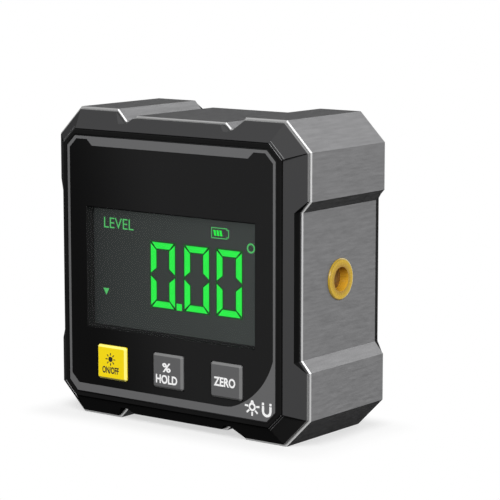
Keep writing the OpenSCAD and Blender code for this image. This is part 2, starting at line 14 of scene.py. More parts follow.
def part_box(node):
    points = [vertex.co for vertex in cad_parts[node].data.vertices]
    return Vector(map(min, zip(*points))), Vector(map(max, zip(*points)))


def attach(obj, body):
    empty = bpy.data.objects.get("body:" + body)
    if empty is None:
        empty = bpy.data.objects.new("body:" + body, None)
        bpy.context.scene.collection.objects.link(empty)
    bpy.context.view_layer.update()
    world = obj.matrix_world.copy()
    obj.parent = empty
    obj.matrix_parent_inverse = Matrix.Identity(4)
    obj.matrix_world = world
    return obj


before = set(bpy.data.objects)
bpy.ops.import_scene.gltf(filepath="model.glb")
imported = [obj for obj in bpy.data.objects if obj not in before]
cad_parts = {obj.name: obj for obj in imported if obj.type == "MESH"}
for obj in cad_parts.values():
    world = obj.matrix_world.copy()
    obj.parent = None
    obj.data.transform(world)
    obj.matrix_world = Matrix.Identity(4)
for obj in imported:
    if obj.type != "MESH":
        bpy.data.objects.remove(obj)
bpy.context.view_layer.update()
mm = 0.001

# %% [markdown]
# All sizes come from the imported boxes, so that a print lies exactly on the
# face that carries it. The front looks along -Y, so the lowest Y of a box is
# the face that the reader of the gauge sees.

# %% Faces that carry prints
panel_low, panel_high = (Vector(c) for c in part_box("front_panel"))
panel_face = panel_low.y
panel_mid = (panel_low + panel_high) / 2
glass_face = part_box("lcd_glass")[0][1]
frame_low, frame_high = (Vector(c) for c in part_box("frame"))
middle = Vector((0, (frame_low.y + frame_high.y) / 2, (frame_low.z + frame_high.z) / 2))
print("panel face at", round(panel_face / mm, 3), "mm, display at", round(glass_face / mm, 3), "mm")

# %% [markdown]
# The photograph was taken with a long lens from the front right and a little
# above. Its angles came from fitting the corners of the frame. The camera
# looks past the box's middle by a few millimetres, which puts the box where
# the photograph has it.

# %% Camera at the photograph's angle
view_turn = math.radians(37.18)
view_lift = math.radians(8.649)
view_distance = 421.16 * mm
middle_left = 6.6 * mm
middle_below = 2.96 * mm
fit_point = Vector((0, -0.2 * mm, 30 * mm))


def in_scene(name, data):
    """Adds an object with the given data to the scene."""
    thing = bpy.data.objects.new(name, data)
    bpy.context.scene.collection.objects.link(thing)
    return thing


ahead = Vector((
    -math.sin(view_turn) * math.cos(view_lift),
    math.cos(view_turn) * math.cos(view_lift),
    -math.sin(view_lift),
))
to_right = Vector((math.cos(view_turn), math.sin(view_turn), 0))
upward = to_right.cross(ahead)

camera_data = bpy.data.cameras.new("camera")
camera_data.lens = 158.33
camera_data.sensor_width = 36
camera_data.clip_start = 0.01
camera_data.clip_end = 50
camera = in_scene("camera", camera_data)
turned = Matrix((to_right, upward, -ahead)).transposed().to_4x4()
stand = fit_point - ahead * view_distance + to_right * middle_left + upward * middle_below
camera.matrix_world = Matrix.Translation(stand) @ turned
bpy.context.scene.camera = camera
print("camera at", [round(c / mm, 1) for c in stand])

# %% [markdown]
# Softboxes are area lamps. Each one is given by the share of a plain white
# level that it brings to a face turned towards it, and its power follows from
# its distance, because light thins out with the square of the distance.

# %% Softboxes
def softbox(name, place_mm, size_mm, share):
    place = Vector(place_mm) * mm
    away = place - middle
    data = bpy.data.lights.new(name, "AREA")
    data.shape = "RECTANGLE"
    data.size, data.size_y = (s * mm for s in size_mm)
    data.energy = share * math.pi ** 2 * away.length ** 2
    aim = away.to_track_quat("Z", "Y").to_matrix().to_4x4()
    in_scene(name, data).matrix_world = Matrix.Translation(place) @ aim


softbox("key_softbox", (560, -430, 330), (260, 300), 0.52)
softbox("front_softbox", (180, -470, 440), (360, 300), 0.82)
softbox("top_softbox", (-60, -60, 620), (520, 420), 0.05)
softbox("back_softbox", (160, 600, 470), (520, 260), 0.125)
softbox("rear_softbox", (60, 660, 110), (520, 260), 0.34)
print("lamps:", len(bpy.data.lights))

# %% [markdown]
# Sky, floor and finishes are built from nodes. Each helper below adds one or
# two nodes to a tree and returns the socket with the result, so the calls can
# stand inside one another. A feed is either a socket or a plain value.

# %% Helpers for node trees
def plug(tree, feed, entry):
    """Links a socket to an input, or sets the input to a plain value."""
    if isinstance(feed, bpy.types.NodeSocket):
        tree.links.new(feed, entry)
    else:
        entry.default_value = feed


def made(tree, kind, **feeds):
    """Adds a node and feeds its inputs, given by name with _ for a space."""
    node = tree.nodes.new(kind)
    for title, feed in feeds.items():
        plug(tree, feed, node.inputs[title.replace("_", " ")])
    return node.outputs[0]


def calc(tree, operation, *feeds, kind="ShaderNodeMath"):
    """Adds a Math node and feeds its inputs in their order."""
    node = tree.nodes.new(kind)
    node.operation = operation
    for feed, entry in zip(feeds, node.inputs):
        plug(tree, feed, entry)
    return node.outputs["Value" if operation in ("DOT_PRODUCT", "LENGTH") else 0]


def vector_calc(tree, operation, *feeds):
    return calc(tree, operation, *feeds, kind="ShaderNodeVectorMath")


def object_place(tree):
    return tree.nodes.new("ShaderNodeTexCoord").outputs["Object"]


def surface_info(tree, title):
    return tree.nodes.new("ShaderNodeNewGeometry").outputs[title]


def spread(tree, source, low, high, source_low=0.3, source_high=0.7):
    """Maps a socket's range, by default that of a noise, onto low to high."""
    return made(tree, "ShaderNodeMapRange", Value=source, From_Min=source_low,
                From_Max=source_high, To_Min=low, To_Max=high)


def either_shader(tree, share, first, second):
    """Goes from the first shader to the second as the share goes from 0 to 1."""
    mix = tree.nodes.new("ShaderNodeMixShader")
    for feed, entry in zip((share, first, second), mix.inputs):
        plug(tree, feed, entry)
    return mix.outputs[0]


def bare_material(name):
    """Returns a new material, its tree and the input for its surface."""
    finish = bpy.data.materials.new(name)
    finish.use_nodes = True
    tree = finish.node_tree
    tree.nodes.clear()
    return finish, tree, tree.nodes.new("ShaderNodeOutputMaterial").inputs["Surface"]


# %% [markdown]
# A Light Path node tells what kind of ray asks. Camera, mirror and glass rays
# get the white studio, and the light that reaches the object stays plain.

# %% White studio for camera, mirror and glass rays
white = (1, 1, 1, 1)
room_light = 0.12


def seen_directly(tree):
    """Returns 1 for camera, glossy and transmission rays, and 0 for others."""
    rays = tree.nodes.new("ShaderNodeLightPath").outputs
    bent = calc(tree, "MAXIMUM", rays["Is Glossy Ray"], rays["Is Transmission Ray"])
    return calc(tree, "MAXIMUM", rays["Is Camera Ray"], bent)


world = bpy.data.worlds.new("studio")
bpy.context.scene.world = world
world.use_nodes = True
sky = world.node_tree
sky.nodes.clear()
plain_sky = made(sky, "ShaderNodeBackground", Color=white, Strength=room_light)
white_sky = made(sky, "ShaderNodeBackground", Color=white, Strength=1)
sky_out = sky.nodes.new("ShaderNodeOutputWorld")
studio = either_shader(sky, seen_directly(sky), plain_sky, white_sky)
sky.links.new(studio, sky_out.inputs["Surface"])
bpy.context.scene.view_settings.view_transform = "Standard"
print("world ready")

# %% [markdown]
# The floor is white paper. Under the gauge and close round it this is lit
# paper, which keeps the soft shadow, and farther out it goes over into plain
# white, so that no edge or grey shows in the background. The change follows
# the distance from the footprint, which is the length of what is left of a
# point's coordinates once the footprint's half sizes are taken off.

# %% Paper floor
floor_half = 6.0
shadow_reach = 8 * mm
least_white = 0.6
floor_drop = 0.02 * mm

floor_mesh = bpy.data.meshes.new("floor")
floor_mesh.from_pydata(
    [(x * floor_half, y * floor_half, -floor_drop)
     for x, y in ((-1, -1), (1, -1), (1, 1), (-1, 1))],
    [], [(0, 1, 2, 3)])
floor = in_scene("floor", floor_mesh)
paper, tree, paper_surface = bare_material("white_paper")
lit_paper = made(tree, "ShaderNodeBsdfDiffuse", Color=(0.92, 0.92, 0.92, 1))
grey_paper = made(tree, "ShaderNodeBsdfDiffuse", Color=(0.04, 0.04, 0.04, 1))
bright_paper = made(tree, "ShaderNodeEmission", Strength=1)
folded = vector_calc(tree, "ABSOLUTE", object_place(tree))
beyond = vector_calc(tree, "SUBTRACT", folded, (frame_high.x, frame_high.y, 0))
reach = vector_calc(tree, "LENGTH", vector_calc(tree, "MAXIMUM", beyond, (0, 0, 0)))
fade = spread(tree, reach, least_white, 1, 0, shadow_reach)
fade.node.interpolation_type = "SMOOTHSTEP"
shown_paper = either_shader(tree, fade, lit_paper, bright_paper)
tree.links.new(either_shader(tree, seen_directly(tree), grey_paper, shown_paper), paper_surface)
floor.data.materials.append(paper)
print("floor", 2 * floor_half, "m wide")

# %% [markdown]
# Most finishes differ in the same few things: their colour and how much it
# varies, how rough they are, and how fine and deep their grain is. One helper
# builds them from Noise textures on Object coordinates, whose scale counts
# repeats per metre, so a grain of 0.2 mm has a scale of 5000. A stretched
# Mapping turns the same noise into the fine lines of brushed metal. Later
# tints are laid over what already drives a socket.

# %% Helpers for finishes with a grain
def new_finish(name):
    finish, tree, surface = bare_material(name)
    shader = tree.nodes.new("ShaderNodeBsdfPrincipled")
    tree.links.new(shader.outputs[0], surface)
    return finish, tree, shader


def principled(finish):
    return finish.node_tree.nodes["Principled BSDF"]


def grain(tree, size_mm, stretch=(1, 1, 1), detail=2.0):
    """Returns a noise socket from 0 to 1 with grains of the given size."""
    squeezed = made(tree, "ShaderNodeMapping", Vector=object_place(tree), Scale=stretch)
    return made(tree, "ShaderNodeTexNoise", Vector=squeezed, Scale=1 / (size_mm * mm),
                Detail=detail)


def blended(tree, share, under, over, kind="MIX", data="RGBA"):
    """Goes from one feed to the other by the given share."""
    blend = tree.nodes.new("ShaderNodeMix")
    blend.data_type = data
    blend.blend_type = kind
    for feed, entry in zip((share, under, over), [i for i in blend.inputs if i.enabled]):
        plug(tree, feed, entry)
    return next(o for o in blend.outputs if o.enabled)


def tinted(tree, share, dark, light):
    return blended(tree, share, (*dark, 1), (*light, 1))


def over_base(finish, share, value, kind="MIX", socket="Base Color"):
    """Lays a value over what already drives a socket, by the share."""
    tree, entry = finish.node_tree, principled(finish).inputs[socket]
    under = entry.links[0].from_socket
    if socket == "Base Color":
        result = blended(tree, share, under, (*value, 1), kind)
    else:
        result = blended(tree, share, under, value, kind, "FLOAT")
    tree.links.new(result, entry)


def raised(tree, shader, height, depth):
    """Makes relief of the given depth from a height between 0 and 1."""
    relief = made(tree, "ShaderNodeBump", Strength=1, Distance=depth, Height=height)
    tree.links.new(relief, shader.inputs["Normal"])


def grained(name, colour, vary, rough, grain_mm, depth_mm, metallic=0.0,
            gloss=0.5, stretch=(1, 1, 1), broad_mm=6.0):
    """A finish whose colour, roughness and relief follow a grain."""
    finish, tree, shader = new_finish(name)
    fine = grain(tree, grain_mm, stretch)
    broad = grain(tree, broad_mm, stretch, 1.0)
    both = calc(tree, "MULTIPLY_ADD", fine, 0.6, spread(tree, broad, 0, 0.4, 0, 1))
    dark = [c * (1 - vary) for c in colour]
    light = [c * (1 + vary) for c in colour]
    tree.links.new(tinted(tree, spread(tree, both, 0, 1), dark, light), shader.inputs["Base Color"])
    tree.links.new(spread(tree, fine, rough * 0.85, rough * 1.15), shader.inputs["Roughness"])
    shader.inputs["Metallic"].default_value = metallic
    shader.inputs["Specular IOR Level"].default_value = gloss
    raised(tree, shader, fine, depth_mm * mm)
    return finish


def dress(finish, *nodes):
    for node in nodes:
        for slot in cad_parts[node].material_slots:
            slot.material = finish
    print(finish.name, "on", ", ".join(nodes))


# %% [markdown]
# The ring frame is milled aluminium, brushed along its depth. The brush leaves
# hair lines a fraction of a millimetre wide and a few millimetres long, so the
# noise is stretched ten times along Y. The edge tint is dark, since the real
# frame's flat top looks dull where the eye skims along it. Light and shade are
# painted by the way a face looks: the top and the undersides are painted darker
# as painted shade, and the upper right corner faces paler as painted light. The
# rim and its small chamfers are cut after brushing, so they are paler, and the
# cut faces that look down carry a further painted highlight. All these faces
# are found from their normals.

# %% Brushed aluminium with cut edges
painted_light_blend = 0.07
painted_light_faces = (
    # direction of the face, where the painted light or shade starts, how bright the face is painted
    ((0, 0, 1), 0.9, 0.70),
    ((0.707, 0, 0.707), 0.9, 1.14),
    ((0, 0, -1), 0.3, 0.37),
)


def towards(tree, direction, start, end, low=0, high=1):
    """Goes from low to high as a face turns towards a direction."""
    along = vector_calc(tree, "DOT_PRODUCT", surface_info(tree, "True Normal"), direction)
    return spread(tree, along, low, high, start, end)


def facing_depth(tree, low, high):
    """Returns 1 where a face looks along Y, and 0 where it runs along Y."""
    along = vector_calc(tree, "DOT_PRODUCT", surface_info(tree, "True Normal"), (0, 1, 0))
    return spread(tree, calc(tree, "ABSOLUTE", along), 0, 1, low, high)


def brushed_frame():
    finish = grained("brushed_aluminium", (0.216, 0.216, 0.219), 0.17, 0.56, 0.17, 0.0020,
                     metallic=1.0, stretch=(1, 0.10, 1), broad_mm=0.6)
    tree = finish.node_tree
    principled(finish).inputs["Specular Tint"].default_value = (0.06, 0.06, 0.06, 1)
    # Painted light and shade: each face is made darker or paler by the way it looks.
    for direction, start, times in painted_light_faces:
        facing_share = towards(tree, direction, start, start + painted_light_blend)
        over_base(finish, facing_share, (times, times, times), "MULTIPLY")
    cut = facing_depth(tree, 0.4, 0.5)
    over_base(finish, cut, (0.37, 0.37, 0.37))
    # Painted highlight: cut faces that look down are painted paler still.
    painted_light_under_rim = calc(tree, "MULTIPLY", cut, towards(tree, (0, 0, -1), 0.3, 0.4))
    over_base(finish, painted_light_under_rim, (0.50, 0.50, 0.50))
    over_base(finish, cut, 0.5, socket="Roughness")
    return finish


dress(brushed_frame(), "frame")

# %% [markdown]
# The mouldings are black filled plastic. The front's sloped flanks are rubbed
# to a fine dull grey, with painted shade where they look down and down to the
# right. Its lip and straight walls stay black, apart from the walls at the top,
# which are painted paler as painted light from above. Its outer foot, against
# the frame's rim, is painted as a pale edge line, a painted highlight. The rear
# has the coarser spark texture that hides finger marks, and its side walls are
# painted darker as painted shade.

# %% Black mouldings
flank_drop = 0.42 * mm
flank_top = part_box("front_bezel")[0][1] + flank_drop
foot_top = frame_low.y - 0.45 * mm
foot_inset, foot_cut = 0.45 * mm, 5.5 * mm
notch_z = 56.3 * mm
lip_room = Vector((1, 0, 1)) * mm
lens_low, lens_high = (Vector(c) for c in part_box("display_lens"))


def off_centre(tree, centre):
    """Returns how far a point is from the centre along each axis."""
    return vector_calc(tree, "ABSOLUTE", vector_calc(tree, "SUBTRACT", object_place(tree), centre))


def beyond_box(tree, low, high, margin=0.05 * mm):
    """Returns 0 inside a box seen from the front, and 1 outside it."""
    over = vector_calc(tree, "SUBTRACT", off_centre(tree, (low + high) / 2), (high - low) / 2)
    parts = made(tree, "ShaderNodeSeparateXYZ", Vector=over).node.outputs
    farther = calc(tree, "MAXIMUM", parts["X"], parts["Z"])
    return spread(tree, farther, 0, 1, margin, 2 * margin)


def one_less(tree, share):
    return spread(tree, share, 1, 0, 0, 1)


def course(tree, direction, start, end, kind="LINEAR"):
    """Returns 0 to 1 along a direction, between two places in metres."""
    along = vector_calc(tree, "DOT_PRODUCT", object_place(tree), direction)
    share = spread(tree, along, 0, 1, start, end)
    share.node.interpolation_type = kind
    return share


def outer_rim(tree):
    """Returns 1 on the outer octagon of the moulding's foot, and 0 inside it."""
    inside = Vector((1, 0, 1)) * (foot_inset + 0.15 * mm)
    slant = vector_calc(tree, "DOT_PRODUCT", off_centre(tree, middle), (1, 0, 1))
    cut_reach = 2 * frame_high.x - foot_cut - foot_inset * math.sqrt(2)
    corners = spread(tree, slant, 0, 1, cut_reach - 0.2 * mm, cut_reach - 0.1 * mm)
    return calc(tree, "MAXIMUM", corners, beyond_box(tree, frame_low + inside, frame_high - inside))


def front_moulding():
    finish = grained("black_moulding", (0.010, 0.010, 0.010), 0.10, 0.55, 0.12, 0.002, gloss=0)
    tree = finish.node_tree
    below_lip = course(tree, (0, 1, 0), flank_top, flank_top + 0.02 * mm)
    foot = course(tree, (0, 1, 0), foot_top, foot_top + 0.1 * mm)
    off_panel = beyond_box(tree, panel_low + lip_room, panel_high - lip_room)
    outside = calc(tree, "MULTIPLY", below_lip, off_panel)
    sloped = calc(tree, "MAXIMUM", facing_depth(tree, 0.3, 0.4), foot)
    # Painted shade: the rubbed grey fades on flanks that look down and on those that look down to
    # the right.
    painted_light_share = calc(tree, "MULTIPLY", towards(tree, (0, 0, -1), 0.3, 0.45, 1, 0.25),
                   towards(tree, (0.707, 0, -0.707), 0.62, 0.72, 1, 0.1))
    rubbed_and_painted_shade = calc(tree, "MULTIPLY", calc(tree, "MULTIPLY", sloped, outside), painted_light_share)
    # Painted light from above: the walls at the top are painted paler.
    high_up = course(tree, (0, 0, 1), notch_z, notch_z + 0.2 * mm)
    over_base(finish, calc(tree, "MULTIPLY", below_lip, high_up), (0.070, 0.070, 0.071))
    over_base(finish, rubbed_and_painted_shade, (0.047, 0.047, 0.048))
    # Painted highlight: a pale line on the outer foot, along the frame's rim.
    over_base(finish, calc(tree, "MULTIPLY", foot, outer_rim(tree)), (0.24, 0.24, 0.24))
    ledge = one_less(tree, beyond_box(tree, lens_low, lens_high))
    over_base(finish, ledge, (0.019, 0.019, 0.019))
    return finish


dress(front_moulding(), "front_bezel")
rear = grained("rear_moulding", (0.019, 0.019, 0.020), 0.18, 0.55, 0.30, 0.030, gloss=0.05)
# Painted shade: the rear's side walls are painted darker.
painted_shade_rear_walls = one_less(rear.node_tree, facing_depth(rear.node_tree, 0.3, 0.5))
over_base(rear, painted_shade_rear_walls, (0.007, 0.007, 0.007))
dress(rear, "rear_cover", "battery_door")

# %% [markdown]
# The front panel is a smooth sheet, almost black. It is painted darker on its
# left and below and paler to the right, a painted reflection. A dot product
# with the Object coordinate gives that slanting course. The cut edges of its
# window are painted paler, as painted light on walls that lie in shade, which
# shows through the clear lens.

# %% Front panel
panel_reflection_dark, panel_reflection_pale = (0.0020, 0.0020, 0.0021), (0.0132, 0.0132, 0.0134)
reflection_dark_until, reflection_pale_from = -17 * mm, 9 * mm


def gloss_panel():
    finish, tree, shader = new_finish("gloss_black")
    # Painted reflection: dark at the left and below, pale to the right.
    across = course(tree, (1, 0, 0.2), reflection_dark_until, reflection_pale_from, "SMOOTHSTEP")
    tree.links.new(tinted(tree, across, panel_reflection_dark, panel_reflection_pale), shader.inputs["Base Color"])
    in_window = one_less(tree, beyond_box(tree, lens_low, lens_high, 0.2 * mm))
    # Painted light on the window's cut walls.
    rim = calc(tree, "MULTIPLY", one_less(tree, facing_depth(tree, 0.5, 0.6)), in_window)
    over_base(finish, rim, (0.020, 0.020, 0.020))
    fine = grain(tree, 0.35)
    tree.links.new(spread(tree, fine, 0.22, 0.28), shader.inputs["Roughness"])
    shader.inputs["Specular IOR Level"].default_value = 0.03
    raised(tree, shader, fine, 0.0005 * mm)
    return finish


dress(gloss_panel(), "front_panel")

# %% [markdown]
# The window lens is clear and thin. A full glass shader would block the lamps
# and leave the display dark, so the lens is mostly a Transparent shader with
# some mirror shine mixed in by Fresnel. Rays go straight through it, so they
# meet its back too steeply, and the shine is kept to the faces seen from
# outside.

# %% Clear lens
def clear_sheet(name, tint, shine, rough):
    finish, tree, surface = bare_material(name)
    through = made(tree, "ShaderNodeBsdfTransparent", Color=(*tint, 1))
    smooth = spread(tree, grain(tree, 0.5), rough * 0.9, rough * 1.1)
    mirror = made(tree, "ShaderNodeBsdfGlossy", Roughness=smooth)
    outer = spread(tree, surface_info(tree, "Backfacing"), shine, 0, 0, 1)
    edge = calc(tree, "MULTIPLY", made(tree, "ShaderNodeFresnel", IOR=1.45), outer)
    tree.links.new(either_shader(tree, edge, through, mirror), surface)
    return finish


dress(clear_sheet("clear_lens", (0.93, 0.94, 0.94), 0.12, 0.08), "display_lens")

# %% [markdown]
# The display is a dark glass on which lit bars glow. The light plate behind it
# shines through a little, so the unlit glass has a faint glow of its own on
# top of its dark colour; the glow also lights up the shade of the window's
# edge, as painted light. Colour and glow are weak at the left end and soon
# reach their full level, which a power below one gives; this rise is a painted
# reflection.

# %% Display glass
def display_glass():
    finish, tree, shader = new_finish("display_glass")
    # Painted light and reflection: the glow fills the window edge's shade and rises to the right.
    glow = calc(tree, "POWER", course(tree, (1, 0, 0), lens_low.x, lens_high.x), 0.3)
    for entry, dark, light in (
            ("Base Color", (0.009, 0.009, 0.010), (0.014, 0.015, 0.014)),
            ("Emission Color", (0.0100, 0.0108, 0.0110), (0.0415, 0.0465, 0.0445))):
        tree.links.new(tinted(tree, glow, dark, light), shader.inputs[entry])
    shader.inputs["Emission Strength"].default_value = 1
    tree.links.new(spread(tree, grain(tree, 0.4), 0.33, 0.40), shader.inputs["Roughness"])
    shader.inputs["Specular IOR Level"].default_value = 0.02
    return finish


dress(display_glass(), "lcd_glass")

# %% [markdown]
# The keys are moulded in through-coloured plastic with a fine matt grain. The
# power key is signal yellow and the other two are mid grey. Their bevelled
# edges are painted paler than the faces, a painted highlight.

# %% Keys
def key_plastic(name, colour, painted_bevel_highlight):
    finish = grained(name, colour, 0.03, 0.43, 0.10, 0.003, gloss=0.4)
    tree = finish.node_tree
    principled(finish).inputs["Specular Tint"].default_value = (*colour, 1)
    # Painted highlight on the bevels between face and sides.
    no_face = one_less(tree, facing_depth(tree, 0.8, 0.9))
    over_base(finish, calc(tree, "MULTIPLY", facing_depth(tree, 0.2, 0.4), no_face), painted_bevel_highlight)
    return finish


yellow_key = key_plastic("key_yellow", (1.0, 0.76, 0.010), (1.0, 0.90, 0.20))
grey_key = key_plastic("key_grey", (0.113, 0.113, 0.115), (0.18, 0.18, 0.18))
dress(yellow_key, "power_button")
dress(grey_key, "hold_button", "zero_button")

# %% [markdown]
# Inside lie the pieces that nobody sees until the gauge is taken apart. Each
# still gets the finish of the real one: pale tray and light plate, green
# board, black chips, bright screws and springs.

# %% Inner pieces
# name, colour, variation, roughness, grain and depth in mm, metallic, nodes
for *finish_values, nodes in (
        ("white_plastic", (0.78, 0.78, 0.75), 0.03, 0.5, 0.15, 0.004, 0, "lcd_carrier"),
        ("light_plate", (0.62, 0.80, 0.66), 0.04, 0.25, 0.6, 0.002, 0, "backlight_plate"),
        ("chip_black", (0.018, 0.018, 0.019), 0.15, 0.55, 0.08, 0.004, 0,
         "tilt_sensor controller_chip buzzer"),
        ("switch_black", (0.030, 0.030, 0.032), 0.10, 0.5, 0.10, 0.004, 0,
         "power_switch hold_switch zero_switch"),
        ("plunger_ivory", (0.70, 0.67, 0.58), 0.04, 0.45, 0.12, 0.003, 0,
         "power_plunger hold_plunger zero_plunger"),
        ("screw_steel", (0.55, 0.55, 0.56), 0.12, 0.3, 0.08, 0.003, 1, "board_screws"),
        ("screw_black", (0.045, 0.045, 0.048), 0.15, 0.38, 0.08, 0.003, 0.7, "rear_screws"),
        ("contact_nickel", (0.66, 0.62, 0.50), 0.08, 0.28, 0.10, 0.002, 1,
         "contact_bridge contact_negative contact_positive"),
        ("spring_steel", (0.60, 0.60, 0.61), 0.10, 0.25, 0.06, 0.002, 1,
         "spring_upper spring_lower"),
        ("magnet_nickel", (0.70, 0.70, 0.69), 0.06, 0.22, 0.15, 0.002, 1, "base_magnets")):
    dress(grained(*finish_values), *nodes.split())

# %% [markdown]
# The side port has a yellow bushing with an amber lens in its bore. The lens
# is cloudy, so it is an opaque tinted plastic, not clear glass.

# %% Side port
bore_shade_inner_radius = 2.36 * mm
bore_shade_radius = 3.3 * mm
rim_from, rim_to = 3.60 * mm, 3.68 * mm


def bushing():
    """Yellow, painted darker round its bore, inside it and on its rim as painted shade, with a
    painted highlight on the rim's back side.
    """
    finish = grained("bushing_yellow", (0.78, 0.49, 0.014), 0.08, 0.26, 0.25, 0.004, gloss=0.4)
    tree = finish.node_tree
    low, high = (Vector(c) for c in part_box("side_port_ring"))
    centre = (low + high) / 2
    offset = vector_calc(tree, "SUBTRACT", object_place(tree), centre)
    radius = vector_calc(tree, "LENGTH", vector_calc(tree, "MULTIPLY", offset, (0, 1, 1)))
    round_bore = spread(tree, radius, 1, 0, bore_shade_inner_radius, bore_shade_radius)
    in_bore = spread(tree, radius, 1, 0, bore_shade_inner_radius - 0.04 * mm, bore_shade_inner_radius)
    rim = spread(tree, radius, 0, 1, rim_from, rim_to)
    behind = course(tree, (0, 1, 0), centre.y - 0.5 * mm, centre.y + 2 * mm)
    # Painted shade round and inside the bore and on the rim, a painted highlight on the rim's back
    # side.
    over_base(finish, round_bore, (0.50, 0.28, 0.010))
    over_base(finish, rim, (0.40, 0.25, 0.010))
    over_base(finish, calc(tree, "MULTIPLY", rim, behind), (0.90, 0.76, 0.36))
    over_base(finish, in_bore, (0.60, 0.32, 0.022))
    return finish


dress(bushing(), "side_port_ring")
amber = grained("amber_lens", (0.23, 0.120, 0.034), 0.35, 0.25, 0.9, 0.004, gloss=0.3)
dress(amber, "side_port_lens")
dress(grained("emitter", (0.85, 0.70, 0.35), 0.05, 0.35, 0.2, 0.002), "port_emitter")

# %% [markdown]
# The circuit board is green lacquer over copper. Its tracks are raised and a
# little lighter; a Voronoi texture in straight-line distance gives the
# crowded right-angled fields of a real board.

# %% Circuit board
def board_lacquer():
    finish, tree, shader = new_finish("board_green")
    cells = made(tree, "ShaderNodeTexVoronoi", Vector=object_place(tree), Scale=1 / (3 * mm)).node
    cells.distance = "CHEBYCHEV"
    tracks = spread(tree, cells.outputs["Distance"], 0, 1, 0.35, 0.38)
    green = tinted(tree, tracks, (0.010, 0.090, 0.030), (0.022, 0.160, 0.060))
    tree.links.new(green, shader.inputs["Base Color"])
    shader.inputs["Roughness"].default_value = 0.3
    raised(tree, shader, tracks, 0.035 * mm)
    return finish


dress(board_lacquer(), "main_board")

# %% [markdown]
# A cell wears a printed sleeve: dark along its body, with a copper coloured
# band at the positive end. The band is found from the Object coordinate along
# the cell, so it needs no image. The two cells point opposite ways.

# %% Cell sleeves
band_length, nub_length, foot_length = 11 * mm, 1.3 * mm, 0.6 * mm
sleeve_blue, sleeve_copper = (0.012, 0.016, 0.024), (0.42, 0.17, 0.055)
bare_metal = (0.62, 0.62, 0.60)


def cell_sleeve(name, node, nub_side):
    ends = [corner[0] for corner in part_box(node)]
    foot_end, nub_end = ends if nub_side > 0 else reversed(ends)
    finish, tree, shader = new_finish(name)

    def step(at):
        edge = nub_side * 0.05 * mm
        return course(tree, (1, 0, 0), at - edge, at + edge)

    sleeve = tinted(tree, step(nub_end - nub_side * band_length), sleeve_blue, sleeve_copper)
    tree.links.new(sleeve, shader.inputs["Base Color"])
    over_base(finish, step(nub_end - nub_side * nub_length), bare_metal)
    over_base(finish, one_less(tree, step(foot_end + nub_side * foot_length)), bare_metal)
    shader.inputs["Metallic"].default_value = 0.55
    tree.links.new(spread(tree, grain(tree, 0.4), 0.24, 0.32), shader.inputs["Roughness"])
    return finish


dress(cell_sleeve("upper_sleeve", "battery_upper", 1), "battery_upper")
dress(cell_sleeve("lower_sleeve", "battery_lower", -1), "battery_lower")

# %% [markdown]
# Prints and legends are flat shapes. A 2D curve fills any set of closed
# outlines, holes included, and its extrude gives the ink a thickness of a few
# hundredths of a millimetre. The curve is made a mesh before it is laid on
# its face, because a finished piece keeps its place in its mesh.

# %% Helpers for flat prints
ink_thickness = 0.03 * mm
weld_reach = 1e-7


def plain_mesh(name, thing):
    """The mesh of an object with its curves and modifiers worked out."""
    bpy.context.view_layer.update()
    seen = thing.evaluated_get(bpy.context.evaluated_depsgraph_get())
    mesh = bpy.data.meshes.new_from_object(seen)
    mesh.name = name
    return mesh


def finish_mesh(name, drawn, finish):
    """Turns a drawn object into a plain mesh with one finish."""
    mesh = plain_mesh(name, drawn)
    bpy.data.objects.remove(drawn)
    mesh.materials.clear()
    mesh.materials.append(finish)
    return mesh


def lay_on_front(mesh, face_y):
    """Stands a mesh drawn in XY upright in XZ, facing the front."""
    mesh.transform(Matrix.Translation((0, face_y, 0)) @ Matrix.Rotation(math.pi / 2, 4, "X"))


def close_up(mesh):
    """Welds a mesh's seams and turns its faces outward."""
    shape = bmesh.new()
    shape.from_mesh(mesh)
    bmesh.ops.remove_doubles(shape, verts=shape.verts, dist=weld_reach)
    bmesh.ops.recalc_face_normals(shape, faces=shape.faces)
    shape.to_mesh(mesh)
    shape.free()


def add_piece(name, mesh, body="housing"):
    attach(in_scene(name, mesh), body)
    print(name, len(mesh.polygons), "faces on", body)


def flat_mesh(name, outlines, finish, face_y):
    """A thin plate from closed outlines given in millimetres as (X, Z)."""
    curve = bpy.data.curves.new(name, "CURVE")
    curve.dimensions = "2D"
    curve.fill_mode = "BOTH"
    curve.extrude = ink_thickness / 2
    for outline in outlines:
        line = curve.splines.new("POLY")
        line.points.add(len(outline) - 1)
        for point, (x, z) in zip(line.points, outline):
            point.co = (x * mm, z * mm, 0, 1)
        line.use_cyclic_u = True
    mesh = finish_mesh(name, in_scene(name, curve), finish)
    lay_on_front(mesh, face_y)
    close_up(mesh)
    return mesh


def flat_print(name, outlines, finish, face_y, body="housing"):
    add_piece(name, flat_mesh(name, outlines, finish, face_y), body)


def legend(name, words, finish, face_y, middle_mm, cap_mm, width_mm, weight_mm, body):
    """A word of the given capital height and width, centred on (X, Z)."""
    text = bpy.data.curves.new(name, "FONT")
    text.body = words
    text.align_x = "CENTER"
    text.size = 1
    text.resolution_u = 4
    drawn = in_scene(name, text)
    plain = plain_mesh(name, drawn)
    across = [v.co.x for v in plain.vertices]
    tall = [v.co.y for v in plain.vertices]
    grow_x = width_mm * mm / (max(across) - min(across))
    grow_y = cap_mm * mm / (max(tall) - min(tall))
    bpy.data.meshes.remove(plain)
    text.offset = weight_mm * mm / grow_y
    text.extrude = ink_thickness / 2
    mesh = finish_mesh(name, drawn, finish)
    mesh.transform(Matrix.Translation((
        (middle_mm[0] * mm) - grow_x * (max(across) + min(across)) / 2,
        (middle_mm[1] * mm) - grow_y * (max(tall) + min(tall)) / 2, 0))
        @ Matrix.Diagonal((grow_x, grow_y, 1, 1)))
    lay_on_front(mesh, face_y)
    close_up(mesh)
    add_piece(name, mesh, body)


